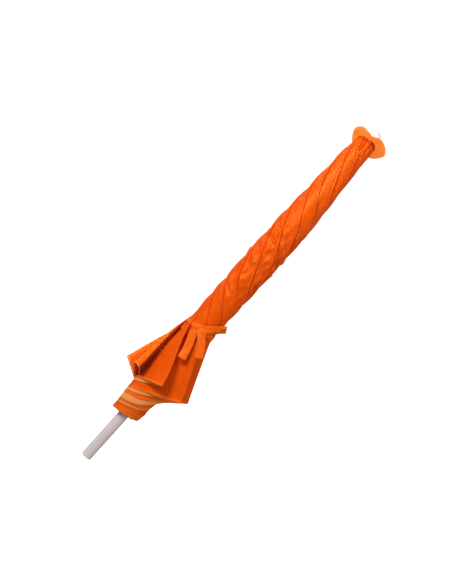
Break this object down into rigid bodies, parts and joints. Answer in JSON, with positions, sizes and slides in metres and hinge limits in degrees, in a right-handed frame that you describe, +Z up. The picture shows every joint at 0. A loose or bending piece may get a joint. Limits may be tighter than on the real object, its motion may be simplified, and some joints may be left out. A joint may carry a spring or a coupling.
{
  "type": "folding sun parasol",
  "caption": "Closed sun parasol: a tube pole with a finial, hinged ribs on a sliding runner, and an orange cloth canopy wrapped round it and tied.",
  "frame": {"origin": "centre of the pole's flat foot", "axes": "+Z up the pole to the finial; +X through the first rib; -Y is the side the knot faces"},
  "size_m": [0.1722, 0.1722, 0.967],
  "materials": {
    "canopy_cloth": "plain-weave polyester, satin, crumpled where it is wrapped",
    "hem_cloth": "turned and stitched hems, paler on the edge",
    "rosette_cloth": "gathered disc of the same cloth, light shining through",
    "tie_cloth": "folded and stitched strap of the same cloth",
    "white_plastic": "moulded, slightly glossy",
    "pole_paint": "smooth off-white enamel on steel tube",
    "rib_steel": "bright zinc-plated wire and strip"
  },
  "bodies": {
    "root": {"pole": "pole_paint", "pole_plug": "white_plastic", "finial": "white_plastic", "rosette": "rosette_cloth", "crown_hub": "white_plastic", "crown_wire": "rib_steel", "outer_wrap": "canopy_cloth", "flared_folds": "canopy_cloth", "gathered_hem": "hem_cloth", "tie_strap": "tie_cloth"},
    "runner": {"runner": "white_plastic"},
    "catch": {"catch_button": "rib_steel"},
    "rib_1": {"rib_1": "rib_steel", "rib_tip_1": "white_plastic", "panel_1_near": "canopy_cloth"},
    "stretcher_1": {"stretcher_1": "rib_steel", "joint_rivet_1": "rib_steel"},
    "panel_1": {"panel_1_far": "canopy_cloth"},
    "rib_2": {"rib_2": "rib_steel", "rib_tip_2": "white_plastic", "panel_2_near": "canopy_cloth"},
    "stretcher_2": {"stretcher_2": "rib_steel", "joint_rivet_2": "rib_steel"},
    "panel_2": {"panel_2_far": "canopy_cloth"},
    "rib_3": {"rib_3": "rib_steel", "rib_tip_3": "white_plastic", "panel_3_near": "canopy_cloth"},
    "stretcher_3": {"stretcher_3": "rib_steel", "joint_rivet_3": "rib_steel"},
    "panel_3": {"panel_3_far": "canopy_cloth"},
    "rib_4": {"rib_4": "rib_steel", "rib_tip_4": "white_plastic", "panel_4_near": "canopy_cloth"},
    "stretcher_4": {"stretcher_4": "rib_steel", "joint_rivet_4": "rib_steel"},
    "panel_4": {"panel_4_far": "canopy_cloth"},
    "rib_5": {"rib_5": "rib_steel", "rib_tip_5": "white_plastic", "panel_5_near": "canopy_cloth"},
    "stretcher_5": {"stretcher_5": "rib_steel", "joint_rivet_5": "rib_steel"},
    "panel_5": {"panel_5_far": "canopy_cloth"},
    "rib_6": {"rib_6": "rib_steel", "rib_tip_6": "white_plastic", "panel_6_near": "canopy_cloth"},
    "stretcher_6": {"stretcher_6": "rib_steel", "joint_rivet_6": "rib_steel"},
    "panel_6": {"panel_6_far": "canopy_cloth"},
    "rib_7": {"rib_7": "rib_steel", "rib_tip_7": "white_plastic", "panel_7_near": "canopy_cloth"},
    "stretcher_7": {"stretcher_7": "rib_steel", "joint_rivet_7": "rib_steel"},
    "panel_7": {"panel_7_far": "canopy_cloth"},
    "rib_8": {"rib_8": "rib_steel", "rib_tip_8": "white_plastic", "panel_8_near": "canopy_cloth"},
    "stretcher_8": {"stretcher_8": "rib_steel", "joint_rivet_8": "rib_steel"},
    "panel_8": {"panel_8_far": "canopy_cloth"}
  },
  "joints": [
    {"name": "runner_slide", "type": "slide", "parent": "root", "child": "runner", "axis": [0, 0, 1], "range_m": [0, 0.42985], "deforming": ["outer_wrap", "flared_folds", "gathered_hem", "tie_strap"]},
    {"name": "catch_pull", "type": "slide", "parent": "runner", "child": "catch", "axis": [0.9239, 0.3827, 0], "range_m": [0, 0.003], "stiffness_N_per_m": 200, "springref_m": -0.002},
    {"name": "rib_1_hinge", "type": "hinge", "parent": "root", "child": "rib_1", "pos_m": [0.0168, 0, 0.915], "axis": [0, -1, 0], "range_deg": [0, 69.45], "deforming": ["panel_1_near"]},
    {"name": "stretcher_1_hinge", "type": "hinge", "parent": "rib_1", "child": "stretcher_1", "pos_m": [0.01671, 0, 0.56998], "axis": [0, 1, 0], "range_deg": [0, 134.78]},
    {"name": "panel_1_spread", "type": "hinge", "parent": "rib_1", "child": "panel_1", "pos_m": [0.01591, 0.00616, 0.91673], "axis": [0.9901, 0.1403, 0.0095], "range_deg": [0, 41.74], "deforming": ["panel_1_far"]},
    {"name": "rib_2_hinge", "type": "hinge", "parent": "root", "child": "rib_2", "pos_m": [0.01188, 0.01188, 0.915], "axis": [0.7071, -0.7071, 0], "range_deg": [0, 69.45], "deforming": ["panel_2_near"]},
    {"name": "stretcher_2_hinge", "type": "hinge", "parent": "rib_2", "child": "stretcher_2", "pos_m": [0.01182, 0.01182, 0.56998], "axis": [-0.7071, 0.7071, 0], "range_deg": [0, 134.78]},
    {"name": "panel_2_spread", "type": "hinge", "parent": "rib_2", "child": "panel_2", "pos_m": [0.00689, 0.01561, 0.91673], "axis": [0.6009, 0.7993, 0.0095], "range_deg": [0, 41.74], "deforming": ["panel_2_far"]},
    {"name": "rib_3_hinge", "type": "hinge", "parent": "root", "child": "rib_3", "pos_m": [0, 0.0168, 0.915], "axis": [1, 0, 0], "range_deg": [0, 69.45], "deforming": ["panel_3_near"]},
    {"name": "stretcher_3_hinge", "type": "hinge", "parent": "rib_3", "child": "stretcher_3", "pos_m": [0, 0.01671, 0.56998], "axis": [-1, 0, 0], "range_deg": [0, 134.78]},
    {"name": "panel_3_spread", "type": "hinge", "parent": "rib_3", "child": "panel_3", "pos_m": [-0.00616, 0.01591, 0.91673], "axis": [-0.1403, 0.9901, 0.0095], "range_deg": [0, 41.74], "deforming": ["panel_3_far"]},
    {"name": "rib_4_hinge", "type": "hinge", "parent": "root", "child": "rib_4", "pos_m": [-0.01188, 0.01188, 0.915], "axis": [0.7071, 0.7071, 0], "range_deg": [0, 69.45], "deforming": ["panel_4_near"]},
    {"name": "stretcher_4_hinge", "type": "hinge", "parent": "rib_4", "child": "stretcher_4", "pos_m": [-0.01182, 0.01182, 0.56998], "axis": [-0.7071, -0.7071, 0], "range_deg": [0, 134.78]},
    {"name": "panel_4_spread", "type": "hinge", "parent": "rib_4", "child": "panel_4", "pos_m": [-0.01561, 0.00689, 0.91673], "axis": [-0.7993, 0.6009, 0.0095], "range_deg": [0, 41.74], "deforming": ["panel_4_far"]},
    {"name": "rib_5_hinge", "type": "hinge", "parent": "root", "child": "rib_5", "pos_m": [-0.0168, 0, 0.915], "axis": [0, 1, 0], "range_deg": [0, 69.45], "deforming": ["panel_5_near"]},
    {"name": "stretcher_5_hinge", "type": "hinge", "parent": "rib_5", "child": "stretcher_5", "pos_m": [-0.01671, 0, 0.56998], "axis": [0, -1, 0], "range_deg": [0, 134.78]},
    {"name": "panel_5_spread", "type": "hinge", "parent": "rib_5", "child": "panel_5", "pos_m": [-0.01591, -0.00616, 0.91673], "axis": [-0.9901, -0.1403, 0.0095], "range_deg": [0, 41.74], "deforming": ["panel_5_far"]},
    {"name": "rib_6_hinge", "type": "hinge", "parent": "root", "child": "rib_6", "pos_m": [-0.01188, -0.01188, 0.915], "axis": [-0.7071, 0.7071, 0], "range_deg": [0, 69.45], "deforming": ["panel_6_near"]},
    {"name": "stretcher_6_hinge", "type": "hinge", "parent": "rib_6", "child": "stretcher_6", "pos_m": [-0.01182, -0.01182, 0.56998], "axis": [0.7071, -0.7071, 0], "range_deg": [0, 134.78]},
    {"name": "panel_6_spread", "type": "hinge", "parent": "rib_6", "child": "panel_6", "pos_m": [-0.00689, -0.01561, 0.91673], "axis": [-0.6009, -0.7993, 0.0095], "range_deg": [0, 41.74], "deforming": ["panel_6_far"]},
    {"name": "rib_7_hinge", "type": "hinge", "parent": "root", "child": "rib_7", "pos_m": [0, -0.0168, 0.915], "axis": [-1, 0, 0], "range_deg": [0, 69.45], "deforming": ["panel_7_near"]},
    {"name": "stretcher_7_hinge", "type": "hinge", "parent": "rib_7", "child": "stretcher_7", "pos_m": [0, -0.01671, 0.56998], "axis": [1, 0, 0], "range_deg": [0, 134.78]},
    {"name": "panel_7_spread", "type": "hinge", "parent": "rib_7", "child": "panel_7", "pos_m": [0.00616, -0.01591, 0.91673], "axis": [0.1403, -0.9901, 0.0095], "range_deg": [0, 41.74], "deforming": ["panel_7_far"]},
    {"name": "rib_8_hinge", "type": "hinge", "parent": "root", "child": "rib_8", "pos_m": [0.01188, -0.01188, 0.915], "axis": [-0.7071, -0.7071, 0], "range_deg": [0, 69.45], "deforming": ["panel_8_near"]},
    {"name": "stretcher_8_hinge", "type": "hinge", "parent": "rib_8", "child": "stretcher_8", "pos_m": [0.01182, -0.01182, 0.56998], "axis": [0.7071, 0.7071, 0], "range_deg": [0, 134.78]},
    {"name": "panel_8_spread", "type": "hinge", "parent": "rib_8", "child": "panel_8", "pos_m": [0.01561, -0.00689, 0.91673], "axis": [0.7993, -0.6009, 0.0095], "range_deg": [0, 41.74], "deforming": ["panel_8_far"]}
  ],
  "couplings": [
    {"joint": "rib_1_hinge", "follows": "runner_slide", "rad_per_m": 2.8199},
    {"joint": "stretcher_1_hinge", "follows": "runner_slide", "rad_per_m": 5.4726},
    {"joint": "panel_1_spread", "follows": "runner_slide", "rad_per_m": 1.6949},
    {"joint": "rib_2_hinge", "follows": "runner_slide", "rad_per_m": 2.8199},
    {"joint": "stretcher_2_hinge", "follows": "runner_slide", "rad_per_m": 5.4726},
    {"joint": "panel_2_spread", "follows": "runner_slide", "rad_per_m": 1.6949},
    {"joint": "rib_3_hinge", "follows": "runner_slide", "rad_per_m": 2.8199},
    {"joint": "stretcher_3_hinge", "follows": "runner_slide", "rad_per_m": 5.4726},
    {"joint": "panel_3_spread", "follows": "runner_slide", "rad_per_m": 1.6949},
    {"joint": "rib_4_hinge", "follows": "runner_slide", "rad_per_m": 2.8199},
    {"joint": "stretcher_4_hinge", "follows": "runner_slide", "rad_per_m": 5.4726},
    {"joint": "panel_4_spread", "follows": "runner_slide", "rad_per_m": 1.6949},
    {"joint": "rib_5_hinge", "follows": "runner_slide", "rad_per_m": 2.8199},
    {"joint": "stretcher_5_hinge", "follows": "runner_slide", "rad_per_m": 5.4726},
    {"joint": "panel_5_spread", "follows": "runner_slide", "rad_per_m": 1.6949},
    {"joint": "rib_6_hinge", "follows": "runner_slide", "rad_per_m": 2.8199},
    {"joint": "stretcher_6_hinge", "follows": "runner_slide", "rad_per_m": 5.4726},
    {"joint": "panel_6_spread", "follows": "runner_slide", "rad_per_m": 1.6949},
    {"joint": "rib_7_hinge", "follows": "runner_slide", "rad_per_m": 2.8199},
    {"joint": "stretcher_7_hinge", "follows": "runner_slide", "rad_per_m": 5.4726},
    {"joint": "panel_7_spread", "follows": "runner_slide", "rad_per_m": 1.6949},
    {"joint": "rib_8_hinge", "follows": "runner_slide", "rad_per_m": 2.8199},
    {"joint": "stretcher_8_hinge", "follows": "runner_slide", "rad_per_m": 5.4726},
    {"joint": "panel_8_spread", "follows": "runner_slide", "rad_per_m": 1.6949}
  ]
}
